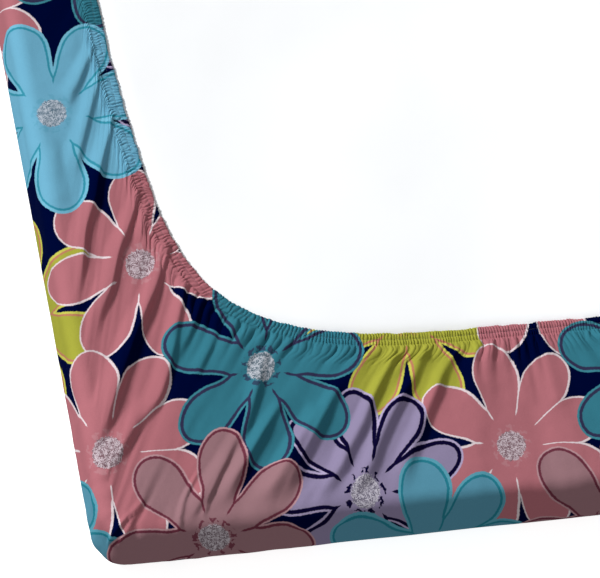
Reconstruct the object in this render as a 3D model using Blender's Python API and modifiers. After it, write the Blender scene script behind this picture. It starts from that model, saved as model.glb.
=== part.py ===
"""A fitted sheet on a plain foam mattress, shown from underneath.

The mattress lies with its sleeping face down on the floor. The sheet covers that face,
rises over the four sides and is tucked over the upturned underside, where an elastic
gathers its hem. Metres, +Z up, origin on the floor under the middle, X along the short
sides (the ends) and Y along the long sides.
"""

import math
from collections import namedtuple

import bpy
import numpy as np

# Outside of the sheet
WIDTH = 1.400
LENGTH = 2.000
HEIGHT = 0.140
CORNER_RADIUS = 0.055
UPPER_ROUND = 0.020
LOWER_ROUND = 0.036

# The elastic pulls the foam's corners down by this much, fading over this distance
CORNER_SAG = 0.015
SAG_REACH = 0.320

# Cloth
CLOTH = 0.002
HEM_CLOTH = 0.004
HEM_WIDTH = 0.020
HEM_RISE = 0.003
HEM_WAVE = 0.35
SEAM_RISE = 0.0015
SEAM_FADE = 4

# Room between the cloth and the foam
FLOOR_GAP = 0.0003
WALL_GAP = 0.003
UNDER_GAP = 0.002

# Steps of the section, as shares of the band's width and as angles of the two rounds
BAND_STEPS = (0.0, 0.12, 0.30, 0.52, 0.76, 1.0)
ROUND_STEPS = (30.0, 60.0, 90.0)
STEPS_PER_FOLD = 4
CURVE_STEPS = 24
SHARP_ANGLE = 40.0

# A fold's height at the casing's seam, as a share of its own, and how soon it swells
FOLD_START = 0.55
FOLD_SWELL = 1.3

CLOTH_COLOR = (0.36, 0.17, 0.22)
COVER_COLOR = (0.90, 0.91, 0.92)
CLOTH_ROUGHNESS = 0.85
COVER_ROUGHNESS = 0.90

# Foam: columns on a long half side, a corner and a short half side, and the top's rings
FOAM_COLUMNS = (9, 6, 7)
FOAM_RINGS = (0.400, 0.260, 0.160, 0.085)

# The hem's line in one quarter, from the middle of a long side to the middle of an end:
# how far in from the long side, and how far in from the end
Hem = namedtuple("Hem", "from_side from_end")
HEM = (
    Hem(0.142, 1.000),
    Hem(0.142, 0.860),
    Hem(0.146, 0.760),
    Hem(0.156, 0.640),
    Hem(0.172, 0.520),
    Hem(0.195, 0.445),
    Hem(0.229, 0.384),
    Hem(0.285, 0.337),
    Hem(0.360, 0.303),
    Hem(0.450, 0.285),
    Hem(0.550, 0.278),
    Hem(0.700, 0.277),
)

# Folds of one quarter, in order from the middle of the long side: where each crest leaves
# the hem and where it meets the edge, both measured along their own line, its height, and
# the share of the way to the edge that it reaches
Fold = namedtuple("Fold", "hem_run edge_run height reach")
PULLED_FOLDS = (
    Fold(0.000, 0.000, 0.000, 0.50),
    Fold(0.100, 0.340, 0.004, 0.60),
    Fold(0.160, 0.510, 0.006, 0.80),
    Fold(0.235, 0.620, 0.009, 0.95),
    Fold(0.310, 0.690, 0.004, 0.60),
    Fold(0.375, 0.750, 0.010, 0.95),
    Fold(0.440, 0.810, 0.005, 0.65),
    Fold(0.500, 0.870, 0.012, 1.00),
    Fold(0.562, 0.915, 0.009, 1.00),
    Fold(0.615, 0.960, 0.006, 0.80),
    Fold(0.662, 1.000, 0.007, 0.75),
    Fold(0.705, 1.035, 0.006, 0.80),
    Fold(0.748, 1.070, 0.009, 0.95),
    Fold(0.784, 1.106, 0.007, 0.85),
    Fold(0.824, 1.142, 0.009, 0.90),
    Fold(0.873, 1.216, 0.008, 0.90),
    Fold(0.921, 1.262, 0.010, 0.85),
    Fold(0.970, 1.308, 0.009, 0.85),
    Fold(1.016, 1.405, 0.010, 0.75),
    Fold(1.055, 1.540, 0.004, 0.70),
    Fold(1.102, 1.636, 0.003, 0.80),
    Fold(1.128, 1.676, 0.000, 0.50),
)
EVEN_FOLDS = (
    Fold(0.000, 0.000, 0.000, 0.50),
    Fold(0.210, 0.330, 0.005, 0.70),
    Fold(0.350, 0.590, 0.008, 0.85),
    Fold(0.470, 0.780, 0.009, 0.90),
    Fold(0.575, 0.910, 0.008, 0.85),
    Fold(0.665, 0.985, 0.010, 0.80),
    Fold(0.755, 1.055, 0.008, 0.85),
    Fold(0.850, 1.175, 0.009, 0.90),
    Fold(0.950, 1.340, 0.007, 0.80),
    Fold(1.128, 1.676, 0.000, 0.50),
)

# The quarters counter-clockwise, as signs of X and Y, with the folds of each
Quarter = namedtuple("Quarter", "x y folds")
QUARTERS = (
    Quarter(-1, -1, PULLED_FOLDS),
    Quarter(1, -1, EVEN_FOLDS),
    Quarter(1, 1, EVEN_FOLDS),
    Quarter(-1, 1, EVEN_FOLDS),
)


def clear_scene():
    """Removes what the scene holds."""
    for thing in list(bpy.data.objects):
        bpy.data.objects.remove(thing, do_unlink=True)


def cloth_material(name, color, roughness):
    """A plain matte Principled material."""
    material = bpy.data.materials.new(name)
    material.use_nodes = True
    shader = material.node_tree.nodes["Principled BSDF"]
    shader.inputs["Base Color"].default_value = (*color, 1.0)
    shader.inputs["Roughness"].default_value = roughness
    shader.inputs["Metallic"].default_value = 0.0
    return material


def smooth_line(rows):
    """A Catmull-Rom curve through the rows, as points and their running lengths."""
    knots = np.array(rows, float)
    knots = np.vstack([2 * knots[0] - knots[1], knots, 2 * knots[-1] - knots[-2]])
    share = np.linspace(0, 1, CURVE_STEPS, endpoint=False)[:, None]
    pieces = []
    for a, b, c, d in zip(knots, knots[1:], knots[2:], knots[3:]):
        cubic = -a + 3 * b - 3 * c + d
        square = 2 * a - 5 * b + 4 * c - d
        pieces.append(0.5 * (2 * b + (c - a) * share + square * share**2 + cubic * share**3))
    points = np.vstack([*pieces, knots[-2:-1]])
    lengths = np.linalg.norm(np.diff(points, axis=0), axis=1)
    return points, np.concatenate([[0.0], np.cumsum(lengths)])


def along(points, runs, wanted):
    """The points of a line at the wanted running lengths."""
    return np.stack([np.interp(wanted, runs, points[:, k]) for k in (0, 1)], axis=1)


def edge_of_quarter(wanted, width, length, radius):
    """Points and outward normals of a quarter of a rounded rectangle, as distances in from
    the long side and the end, at running lengths from the middle of the long side."""
    straight = length / 2 - radius
    arc = radius * math.pi / 2
    turn = np.clip((wanted - straight) / radius, 0, math.pi / 2)
    before = np.clip(wanted, 0, straight)
    after = np.clip(wanted - straight - arc, 0, width / 2 - radius)
    x = radius - radius * np.cos(turn) + after
    y = length / 2 - before - radius * np.sin(turn)
    normal = np.stack([-np.cos(turn), -np.sin(turn)], axis=1)
    return np.stack([x, y], axis=1), normal


def underside_height(plan):
    """Height of the tucked band over a point given by its distances in from the corner."""
    return HEIGHT - CORNER_SAG * np.exp(-(plan**2).sum(axis=-1) / SAG_REACH**2)


def fold_columns(folds):
    """The columns of a quarter: running lengths on the hem and on the edge, and for each
    column its share of every fold's height, which is 1 on the crest and 0 half way to
    the next one."""
    count = len(folds)
    place = np.arange((count - 1) * STEPS_PER_FOLD + 1) / STEPS_PER_FOLD
    hem_run = np.interp(place, np.arange(count), [f.hem_run for f in folds])
    edge_run = np.interp(place, np.arange(count), [f.edge_run for f in folds])
    away = np.clip(np.abs(place[:, None] - np.arange(count)), 0, 0.5)
    return hem_run, edge_run, np.cos(away * math.pi) ** 2


def fold_relief(folds, shares, step):
    """Height of the cloth over its base in each column, at a step of the band: a fold
    swells from the hem, is highest before the middle and has died out at its reach."""
    reach = np.array([f.reach for f in folds])
    height = np.array([f.height for f in folds])
    gone = np.clip(step / reach, 0, 1)
    swell = np.sin(math.pi * np.minimum(gone * FOLD_SWELL, 1.0))
    swell = FOLD_START + (1 - FOLD_START) * swell
    fade = 1 - gone**2 * (3 - 2 * gone)
    return shares @ (height * swell * fade)


def sheet_quarter(quarter):
    """Rows of the sheet's outer face in one quarter, from the hem outwards and down."""
    hem_run, edge_run, shares = fold_columns(quarter.folds)
    line, runs = smooth_line(HEM)
    hem_run = hem_run / quarter.folds[-1].hem_run * runs[-1]
    lip = along(line, runs, hem_run)
    tangent = np.gradient(line, axis=0)
    tangent = along(tangent / np.linalg.norm(tangent, axis=1)[:, None], runs, hem_run)
    outward = np.stack([tangent[:, 1], -tangent[:, 0]], axis=1)
    seam = lip + outward * HEM_WIDTH
    whole = (LENGTH + WIDTH) / 2 - CORNER_RADIUS * (2 - math.pi / 2)
    edge_run = edge_run / quarter.folds[-1].edge_run * whole
    edge, normal = edge_of_quarter(edge_run, WIDTH, LENGTH, CORNER_RADIUS)
    brink = edge - normal * UPPER_ROUND
    top = underside_height(brink)

    wave = fold_relief(quarter.folds, shares, 0.0) * HEM_WAVE
    rows = [(lip, underside_height(lip) + HEM_RISE + wave)]
    for step in BAND_STEPS:
        plan = seam + (brink - seam) * step
        rise = SEAM_RISE * (1 - step) ** SEAM_FADE
        relief = fold_relief(quarter.folds, shares, step)
        rows.append((plan, underside_height(plan) + rise + relief))
    for angle in map(math.radians, ROUND_STEPS):
        drop = UPPER_ROUND * (1 - math.cos(angle))
        rows.append((brink + normal * UPPER_ROUND * math.sin(angle), top - drop))
    for angle in map(math.radians, (0.0, *ROUND_STEPS)):
        plan = edge - normal * LOWER_ROUND * (1 - math.cos(angle))
        rows.append((plan, np.full(len(edge), LOWER_ROUND * (1 - math.sin(angle)))))
    return placed(rows, quarter)


def placed(rows, quarter):
    """The rows as points in the part's frame, with the columns counter-clockwise and the
    last one left to the next quarter."""
    points = np.array([np.column_stack([*plan.T, height]) for plan, height in rows])
    points[..., 0] = quarter.x * (WIDTH / 2 - points[..., 0])
    points[..., 1] = quarter.y * (LENGTH / 2 - points[..., 1])
    if quarter.x != quarter.y:
        points = points[:, ::-1]
    return points[:, :-1]


def lofted(name, points, ends):
    """A mesh object of quads between closed rings of points, whose first and last rings
    are capped by a flat face where ends asks for it."""
    rings, columns = points.shape[:2]
    index = np.arange(rings * columns).reshape(rings, columns)
    after = np.roll(index, -1, axis=1)
    quads = np.stack([index[:-1], index[1:], after[1:], after[:-1]], axis=-1)
    faces = quads.reshape(-1, 4).tolist()
    if "first" in ends:
        faces.append(index[0].tolist())
    if "last" in ends:
        faces.append(index[-1, ::-1].tolist())
    mesh = bpy.data.meshes.new(name)
    mesh.from_pydata(points.reshape(-1, 3).tolist(), [], faces)
    mesh.validate()
    mesh.shade_smooth()
    mesh.set_sharp_from_angle(angle=math.radians(SHARP_ANGLE))
    return bpy.data.objects.new(name, mesh)


def fitted_sheet():
    """The sheet: one open surface from its hem to the face on the floor, given the
    cloth's thickness inwards and twice that along the turned hem."""
    points = np.concatenate([sheet_quarter(q) for q in QUARTERS], axis=1)
    sheet = lofted("fitted_sheet", points, ends=("last",))
    hem = sheet.vertex_groups.new(name="hem")
    hem.add(list(range(2 * points.shape[1])), 1.0, "REPLACE")
    wall = sheet.modifiers.new("cloth", "SOLIDIFY")
    wall.thickness = HEM_CLOTH
    wall.offset = -1.0
    wall.use_even_offset = True
    wall.vertex_group = hem.name
    wall.thickness_vertex_group = CLOTH / HEM_CLOTH
    sheet.data.materials.append(cloth_material("printed_cloth", CLOTH_COLOR, CLOTH_ROUGHNESS))
    return sheet


def foam_quarter(quarter):
    """Rows of the foam block in one quarter, from the upturned underside out and down."""
    side = CLOTH + WALL_GAP
    width, length = WIDTH - 2 * side, LENGTH - 2 * side
    radius = CORNER_RADIUS - side
    bends = np.cumsum([0, length / 2 - radius, radius * math.pi / 2, width / 2 - radius])
    runs = [np.linspace(a, b, n, endpoint=False) for a, b, n in zip(bends, bends[1:], FOAM_COLUMNS)]
    run = np.concatenate([*runs, bends[-1:]])
    edge, normal = edge_of_quarter(run, width, length, radius)
    edge = edge + side
    brink = edge - normal * UPPER_ROUND
    top = underside_height(brink) - CLOTH - UNDER_GAP

    rows = []
    middle = np.array([WIDTH / 2, LENGTH / 2])
    for ring in FOAM_RINGS:
        plan = middle - (middle - brink) * (1 - ring / middle)
        rows.append((plan, underside_height(plan) - CLOTH - UNDER_GAP))
    for angle in map(math.radians, (0.0, *ROUND_STEPS)):
        drop = UPPER_ROUND * (1 - math.cos(angle))
        rows.append((brink + normal * UPPER_ROUND * math.sin(angle), top - drop))
    floor = CLOTH + FLOOR_GAP
    for angle in map(math.radians, (0.0, *ROUND_STEPS)):
        plan = edge - normal * LOWER_ROUND * (1 - math.cos(angle))
        lift = LOWER_ROUND * (1 - math.sin(angle))
        rows.append((plan, np.full(len(edge), floor + lift)))
    return placed(rows, quarter)


def mattress():
    """The plain foam block that the sheet is fitted on."""
    points = np.concatenate([foam_quarter(q) for q in QUARTERS], axis=1)
    block = lofted("mattress", points, ends=("first", "last"))
    block.data.materials.append(cloth_material("mattress_cover", COVER_COLOR, COVER_ROUGHNESS))
    return block


def main():
    clear_scene()
    group = bpy.data.collections.new("fitted_sheet_on_a_mattress")
    bpy.context.scene.collection.children.link(group)
    for piece in (mattress(), fitted_sheet()):
        group.objects.link(piece)


main()
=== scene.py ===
"""A fitted sheet with a gathered hem on a plain mattress, laid out as an add-on."""

import math
from collections import namedtuple

import bpy
import numpy as np
from mathutils import Matrix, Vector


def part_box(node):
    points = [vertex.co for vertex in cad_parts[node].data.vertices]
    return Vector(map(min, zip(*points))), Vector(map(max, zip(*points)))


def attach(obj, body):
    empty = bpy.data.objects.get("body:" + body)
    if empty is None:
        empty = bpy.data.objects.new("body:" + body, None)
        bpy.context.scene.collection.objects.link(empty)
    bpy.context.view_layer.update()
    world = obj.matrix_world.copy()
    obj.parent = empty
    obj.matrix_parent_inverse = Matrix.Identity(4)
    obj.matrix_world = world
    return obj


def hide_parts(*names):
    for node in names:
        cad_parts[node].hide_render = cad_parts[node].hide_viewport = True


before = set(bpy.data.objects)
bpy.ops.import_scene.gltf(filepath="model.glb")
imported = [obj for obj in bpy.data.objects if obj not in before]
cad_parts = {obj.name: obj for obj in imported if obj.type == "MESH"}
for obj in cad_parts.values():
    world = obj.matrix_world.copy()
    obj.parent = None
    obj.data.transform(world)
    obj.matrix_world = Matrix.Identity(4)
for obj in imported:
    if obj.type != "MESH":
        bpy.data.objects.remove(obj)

bl_info = {
    "name": "Fitted Sheet on a Mattress",
    "version": (1, 0, 0),
    "blender": (4, 5, 0),
    "location": "View3D > Sidebar > Fitted Sheet",
    "description": "Builds a printed fitted sheet with a gathered elastic hem on its mattress",
    "category": "Object",
}

HEM_PIECES = "gathered_hem_front", "gathered_hem_back"
STITCH_PIECE = "hem_stitches"

# The sheet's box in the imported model
SHEET_LOW, SHEET_HIGH = (np.array(corner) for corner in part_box("fitted_sheet"))
HALF = (SHEET_HIGH - SHEET_LOW)[:2] / 2

# Outer form of the sheet
QUARTER_TURN = math.pi / 2
HEIGHT = 0.140
CORNER_RADIUS = 0.055
UPPER_ROUND = 0.020
LOWER_ROUND = 0.036
CORNER_SAG = 0.015
SAG_REACH = 0.320

# The hem's line in one quarter: how far in from the long side, and how far in from the end
HEM = (
    (0.142, 1.000), (0.142, 0.860), (0.146, 0.760), (0.156, 0.640), (0.172, 0.520),
    (0.195, 0.445), (0.229, 0.384), (0.285, 0.337), (0.360, 0.303), (0.450, 0.285),
    (0.550, 0.278), (0.700, 0.277),
)
CURVE_STEPS = 24

# Where the cloth's threads leave the hem and where they cross the edge, both as running
# lengths from the middle of the long side
HEM_TO_EDGE = (
    (0.000, 0.000), (0.100, 0.340), (0.160, 0.510), (0.235, 0.620), (0.310, 0.690),
    (0.375, 0.750), (0.440, 0.810), (0.500, 0.870), (0.562, 0.915), (0.615, 0.960),
    (0.662, 1.000), (0.705, 1.035), (0.748, 1.070), (0.784, 1.106), (0.824, 1.142),
    (0.873, 1.216), (0.921, 1.262), (0.970, 1.308), (1.016, 1.405), (1.055, 1.540),
    (1.102, 1.636), (1.128, 1.676),
)

# The quarters counter-clockwise, as signs of X and Y
QUARTERS = np.array([(-1, -1), (1, -1), (1, 1), (-1, 1)])

# Creases of the front left quarter, each from the hem outwards, in the hem's coordinates:
# the path of its steep flank, its height, and the widths of its steep and its easy flank
Crease = namedtuple("Crease", "height steep easy path")
CREASES = (
    Crease(0.006, 0.010, 0.024, ((0.119, 0.815), (0.090, 0.760), (0.058, 0.710))),
    Crease(0.006, 0.010, 0.024, ((0.123, 0.770), (0.108, 0.730), (0.080, 0.657), (0.054, 0.590))),
    Crease(0.009, 0.010, 0.026, (
        (0.130, 0.690), (0.119, 0.660), (0.094, 0.594), (0.080, 0.549), (0.058, 0.500),
        (0.038, 0.423), (0.013, 0.370),
    )),
    Crease(0.009, 0.010, 0.026, (
        (0.146, 0.553), (0.121, 0.495), (0.100, 0.455), (0.080, 0.400), (0.058, 0.360),
        (0.042, 0.315),
    )),
    Crease(0.004, 0.008, 0.014, ((0.157, 0.530), (0.1435, 0.500), (0.137, 0.470))),
    Crease(0.012, 0.011, 0.030, (
        (0.177, 0.460), (0.148, 0.396), (0.128, 0.360), (0.105, 0.320), (0.080, 0.270),
        (0.050, 0.210), (0.031, 0.170), (-0.005, 0.113),
    )),
    Crease(0.008, 0.011, 0.028, (
        (0.190, 0.390), (0.162, 0.310), (0.140, 0.250), (0.117, 0.207), (0.085, 0.176),
        (0.054, 0.140), (0.018, 0.095), (-0.010, 0.063),
    )),
    Crease(0.005, 0.009, 0.018, ((0.220, 0.300), (0.193, 0.260), (0.175, 0.230))),
    Crease(0.005, 0.009, 0.018, ((0.210, 0.360), (0.182, 0.310), (0.150, 0.265))),
    Crease(0.008, 0.012, 0.020, ((0.283, 0.245), (0.260, 0.190), (0.220, 0.110))),
    Crease(0.007, 0.010, 0.024, ((0.215, 0.126), (0.189, 0.085), (0.144, 0.030), (0.117, 0.005))),
    Crease(0.009, 0.013, 0.020, ((0.292, 0.175), (0.265, 0.140), (0.220, 0.080), (0.175, 0.020))),
    Crease(0.010, 0.017, 0.022, ((0.346, 0.162), (0.310, 0.113), (0.265, 0.050), (0.229, 0.010))),
    Crease(0.011, 0.017, 0.022, ((0.385, 0.190), (0.350, 0.140), (0.250, 0.000))),
    Crease(0.0105, 0.016, 0.018, (
        (0.485, 0.238), (0.4625, 0.207), (0.4355, 0.167), (0.413, 0.130), (0.386, 0.094),
        (0.359, 0.054), (0.295, 0.000),
    )),
    Crease(0.0105, 0.016, 0.018, (
        (0.530, 0.234), (0.503, 0.194), (0.480, 0.167), (0.4535, 0.130), (0.431, 0.094),
        (0.404, 0.050), (0.340, 0.000),
    )),
    Crease(0.010, 0.016, 0.020, (
        (0.580, 0.234), (0.557, 0.207), (0.539, 0.176), (0.5165, 0.140), (0.4985, 0.108),
        (0.480, 0.080), (0.440, 0.000),
    )),
    Crease(0.003, 0.014, 0.026, ((0.609, 0.234), (0.604, 0.185), (0.600, 0.140))),
    Crease(0.002, 0.014, 0.026, ((0.683, 0.200), (0.685, 0.164), (0.683, 0.128))),
    Crease(0.004, 0.022, 0.030, ((0.037, 0.660), (0.033, 0.590), (0.031, 0.520))),
    Crease(0.005, 0.005, 0.008, (
        (0.060, 0.045), (0.030, 0.022), (0.000, -0.004), (-0.028, -0.030),
    )),
    Crease(0.004, 0.005, 0.008, ((0.150, 0.082), (0.128, 0.050), (0.116, 0.018), (0.110, -0.010))),
    Crease(0.004, 0.005, 0.007, ((0.178, 0.068), (0.160, 0.040), (0.150, 0.010))),
    Crease(0.003, 0.004, 0.006, ((0.040, 0.016), (0.022, -0.006), (0.010, -0.032))),
)
PATH_STEPS = 5

# A crease's height at the hem and the shares of its length where it has swollen and where
# it starts to fade, the reach of its round end, how many easy widths aside it is looked
# for, and the other quarters' shifts and heights
CREASE_START = 0.50
CREASE_SWOLLEN = 0.3
CREASE_FADES = 0.7
CREASE_END = 0.010
CREASE_MARGIN = 1.6
CREASE_SHIFT = 0.012
CREASE_SCALES = 0.45, 1.10

# Section of the gathered hem: its lip and lower layer, the least that a column leads away
# from it, how far out its gathers belong to it, the pleats' pitch with what is added on the
# long sides and in the bend, the gathers' pitch, how far the pleats run out on the sides
# and how much less on the ends, and the heights and crests of the puffed casing, merged
# pleats, gathers and the puff at the seam
LIP_RADIUS = 0.0015
LOWER_LAYER = 0.0015
LEAST_LEAD = 0.25
GATHER_REACH = 0.040
PLEAT_PITCH = 0.0044
SIDE_PITCH = 0.0012
BEND_PITCH = 0.0022
MEDIUM_PITCH = 0.022
PLEAT_REACH = 0.0085
REACH_LOSS = 0.0040
CASING_PUFF = 0.0018
MERGED_HEIGHT = 0.0017
MERGED_CREST = 0.009
GATHER_CREST = 0.017
SEAM_PUFF = 0.0018
SEAM_PUFF_CREST = 0.008

# Relief of the cloth: long folds as heights and noise cells, with their lift, the distance
# over which they start and how drawn out they are, small wrinkles as heights and cells, and
# folds along the walls as heights, distances below the brink and half widths
LONG_FOLDS = (0.0009, 0.015), (0.0030, 0.030)
FOLD_LIFT = 0.00225
FOLD_START = 0.030
FOLD_STRETCH = 0.16
WRINKLES = (0.0007, 0.043), (0.0004, 0.017)
WALL_FOLDS = (0.0016, 0.042, 0.013), (0.0012, 0.085, 0.016)
WALL_WRINKLE = 0.0006

# Beyond the brink the band's relief loses this share over this reach, and from another
# distance on the cloth gets flat
WALL_CALM = 0.45
CALM_REACH = 0.170 / 2.2
FLAT_FROM = 0.105
FLAT_REACH = 0.035

# Stitches: their thickness, their spacing and how far they stand on the casing
STITCH_THICK = 0.00032
STITCH_SPACING = 0.0036
STITCH_LIFT = 0.0001

# Mattress: inside the sheet and above the floor by this much, how far its foam swells
# inside the hem and sinks under it, over which reach, and its unevenness as heights and
# noise cells; then its even rings, how far inside the lip they end, and the closer ones
COVER_GAP = 0.005
COVER_FLOOR = 0.0023
COVER_SWELL = 0.0008
COVER_SINK = 0.0026
COVER_REACH = 0.010
COVER_UNEVEN = (0.0010, 0.21), (0.0004, 0.06)
COVER_RINGS = 46
COVER_FIRST = 0.030
COVER_INSIDE = 0.024, 0.018, 0.013, 0.009, 0.006, 0.004, 0.002, 0.0, -0.002

# Columns round the sheet: up to which step of the ring they are fine, their spacing and how
# many of the hem's come to one of them. Rows of the band, the upper round, the wall and the
# lower round
NEAR_END = 1.26
NEAR_SPACING = 0.0026
FAR_SPACING = 0.0068
NEAR_DIVIDE = 4
FAR_DIVIDE = 6
BAND_ROWS = 40
ROUND_ROWS = 6
WALL_ROWS = 9
LOWER_ROWS = 5

# Print: plan coordinates to the print's own, which is turned and a little squeezed, and
# how far the print moves in plan for each metre down a wall: on the left and the front one
# near their common corner, where the cloth is stretched, and plainly outwards elsewhere,
# from one distance past the middle over another. Then the repeat's width and its next row
PRINT_AXES = np.array([(0.9648, -0.1941), (0.0853, 0.8691)])
CORNER_FALL = (-0.33, -0.50), (-0.29, -0.53)
PLAIN_FALL = 0.85
FALL_FROM = 0.05
FALL_REACH = 0.45
REPEAT_ACROSS = 0.594
REPEAT_SHIFT = -0.270
REPEAT_UP = 0.667

# Camera
CAMERA_TURN = math.radians(28.6595)
CAMERA_ELEVATION = math.radians(58.7743)
CAMERA_ROLL = math.radians(19.9976)
CAMERA_TARGET = -0.2973, -0.5539, 0.0
CAMERA_DISTANCE = 5.5855
CAMERA_LENS = 216.0
SENSOR = 36.0

# How far the floor lies under the sheet, and the size of the noises' lattice
FLOOR_DEPTH = 0.0005
LATTICE = 64


# Plain geometry


def smooth_line(rows):
    """A Catmull-Rom curve through the rows, as points and their running lengths."""
    knots = np.array(rows, float)
    knots = np.vstack([2 * knots[0] - knots[1], knots, 2 * knots[-1] - knots[-2]])
    share = np.linspace(0, 1, CURVE_STEPS, endpoint=False)[:, None]
    pieces = []
    for a, b, c, d in zip(knots, knots[1:], knots[2:], knots[3:]):
        cubic = -a + 3 * b - 3 * c + d
        square = 2 * a - 5 * b + 4 * c - d
        pieces.append(0.5 * (2 * b + (c - a) * share + square * share**2 + cubic * share**3))
    points = np.vstack([*pieces, knots[-2:-1]])
    lengths = np.linalg.norm(np.diff(points, axis=0), axis=1)
    return points, np.concatenate([[0.0], np.cumsum(lengths)])


def along(points, runs, wanted):
    """The points of a line at the wanted running lengths."""
    return np.stack([np.interp(wanted, runs, points[:, k]) for k in (0, 1)], axis=1)


def edge_of_quarter(wanted):
    """Points and outward normals of a quarter of the sheet's outline, a rounded rectangle, as
    distances in from the long side and the end, at running lengths from the middle of the
    long side."""
    straight, across = HALF[1] - CORNER_RADIUS, HALF[0] - CORNER_RADIUS
    turn = np.clip((wanted - straight) / CORNER_RADIUS, 0, QUARTER_TURN)
    before = np.clip(wanted, 0, straight)
    after = np.clip(wanted - straight - CORNER_RADIUS * QUARTER_TURN, 0, across)
    x = CORNER_RADIUS - CORNER_RADIUS * np.cos(turn) + after
    y = HALF[1] - before - CORNER_RADIUS * np.sin(turn)
    normal = np.stack([-np.cos(turn), -np.sin(turn)], axis=1)
    return np.stack([x, y], axis=1), normal


def ease(value):
    """3t² - 2t³ of a value held between 0 and 1."""
    value = np.clip(value, 0.0, 1.0)
    return value * value * (3 - 2 * value)


def noise(points, cell, seed, around=None):
    """Smooth noise from -1 to 1: random heights on a square lattice of the given cell,
    blended between the four neighbours of each point. Around is the length after which
    it comes again."""
    table = np.random.default_rng(seed).uniform(-1, 1, (LATTICE, LATTICE))
    cells = round(around / cell) if around else LATTICE
    scaled = points / ((around / cells, cell) if around else cell)
    low = np.floor(scaled).astype(int)
    u, v = np.moveaxis(ease(scaled - low), -1, 0)
    i, j = np.moveaxis(low, -1, 0)
    below, above = (
        table[i % cells % LATTICE, k % LATTICE] * (1 - u)
        + table[(i + 1) % cells % LATTICE, k % LATTICE] * u
        for k in (j, j + 1)
    )
    return below * (1 - v) + above * v


def layers(points, heights_and_cells, seed):
    """Several noises together, each given by its height and its cell."""
    return sum(
        height * noise(points, cell, seed + number)
        for number, (height, cell) in enumerate(heights_and_cells)
    )


def hump(distance, crest):
    """x e^(1 - x) of a distance over the crest's: 0 at first, 1 at the crest, soon low."""
    return distance / crest * np.exp(1 - distance / crest)


def bell(distance, half):
    """e^(-x²) of a distance over the half width."""
    return np.exp(-((distance / half) ** 2))


def underside(plan):
    """Height of the tucked band: level, and lower round each corner by a bell curve of the
    distance from it."""
    return HEIGHT - CORNER_SAG * bell(np.linalg.norm(HALF - np.abs(plan), axis=-1), SAG_REACH)


def raised(plan, lift):
    """Points over the underside, at a height above it."""
    return np.column_stack([plan, underside(plan) + lift])


# Columns round the sheet. Each has the hem's lip, the casing's seam, the brink and the edge,
# its way from seam to brink with its reach, and how far from the seam each step of it leads

Ring = namedtuple(
    "Ring",
    "sizes run lip outward tangent bend phase seam brink edge normal way reach lead",
)

HEM_LINE, HEM_RUNS = smooth_line(HEM)
HEM_SLOPE = np.gradient(HEM_LINE, axis=0)
HEM_SLOPE = HEM_SLOPE / np.linalg.norm(HEM_SLOPE, axis=1)[:, None]
QUARTER_RUN = HEM_RUNS[-1]
RING_RUN = 4 * QUARTER_RUN


def ring_at(sizes, steps):
    """The columns at the wanted steps, 0 to 4 counter-clockwise from the middle of the left
    side: each quarter runs along the hem's line, forwards and backwards by turns."""
    quarter = np.floor(steps).astype(int) % 4
    share = steps - np.floor(steps)
    backwards = quarter % 2 == 1
    share = np.where(backwards, 1 - share, share)
    sign = QUARTERS[quarter]
    hem_table, edge_table = np.array(HEM_TO_EDGE).T
    whole = HALF.sum() - CORNER_RADIUS * (2 - QUARTER_TURN)
    edge_run = np.interp(share, hem_table / hem_table[-1], edge_table / edge_table[-1] * whole)
    edge, normal = edge_of_quarter(edge_run)
    lip, slope = (along(line, HEM_RUNS, share * QUARTER_RUN) for line in (HEM_LINE, HEM_SLOPE))
    outward = np.stack([slope[:, 1], -slope[:, 0]], axis=1)
    seam = lip + outward * sizes.hem_width
    brink = edge - normal * UPPER_ROUND
    counts = pleat_count()
    phase = np.interp(share, HEM_RUNS / QUARTER_RUN, counts)
    phase = np.where(backwards, counts[-1] - phase, phase) + counts[-1] * np.floor(steps)
    tangent = -sign * slope * np.where(backwards, -1, 1)[:, None]
    lip, seam, brink, edge = (sign * (HALF - plan) for plan in (lip, seam, brink, edge))
    outward, normal = -sign * outward, -sign * normal
    reach = np.linalg.norm(brink - seam, axis=1)
    way = (brink - seam) / reach[:, None]
    lead = np.maximum((way * outward).sum(axis=1), LEAST_LEAD)
    run, bend = steps * QUARTER_RUN, bend_of(slope)
    ring = sizes, run, lip, outward, tangent, bend, phase, seam, brink, edge, normal
    return Ring(*ring, way, reach, lead)


def bend_of(slope):
    """1 where the hem runs askew, 0 where it runs along a side or an end."""
    return (2 * slope[:, 0] * slope[:, 1]) ** 2


def pleat_count():
    """The number of pleats up to each point of the hem's line, a whole number in all: the
    sum of the steps along it over the pitch, which is wider on the long sides and in the
    bend."""
    pitch = PLEAT_PITCH + SIDE_PITCH * HEM_SLOPE[:, 1] ** 2 + BEND_PITCH * bend_of(HEM_SLOPE)
    count = np.diff(HEM_RUNS) * 2 / (pitch[1:] + pitch[:-1])
    count = np.concatenate([[0.0], np.cumsum(count)])
    return count * round(count[-1]) / count[-1]


def ring_steps():
    """Steps of the coarse columns, fine up to NEAR_END and wider after it, in whole pairs."""
    near = 2 * round(NEAR_END * QUARTER_RUN / NEAR_SPACING / 2)
    far = 2 * round((4 - NEAR_END) * QUARTER_RUN / FAR_SPACING / 2)
    return (
        np.linspace(0, NEAR_END, near, endpoint=False),
        np.linspace(NEAR_END, 4, far, endpoint=False),
    )


# Relief of the cloth


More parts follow.
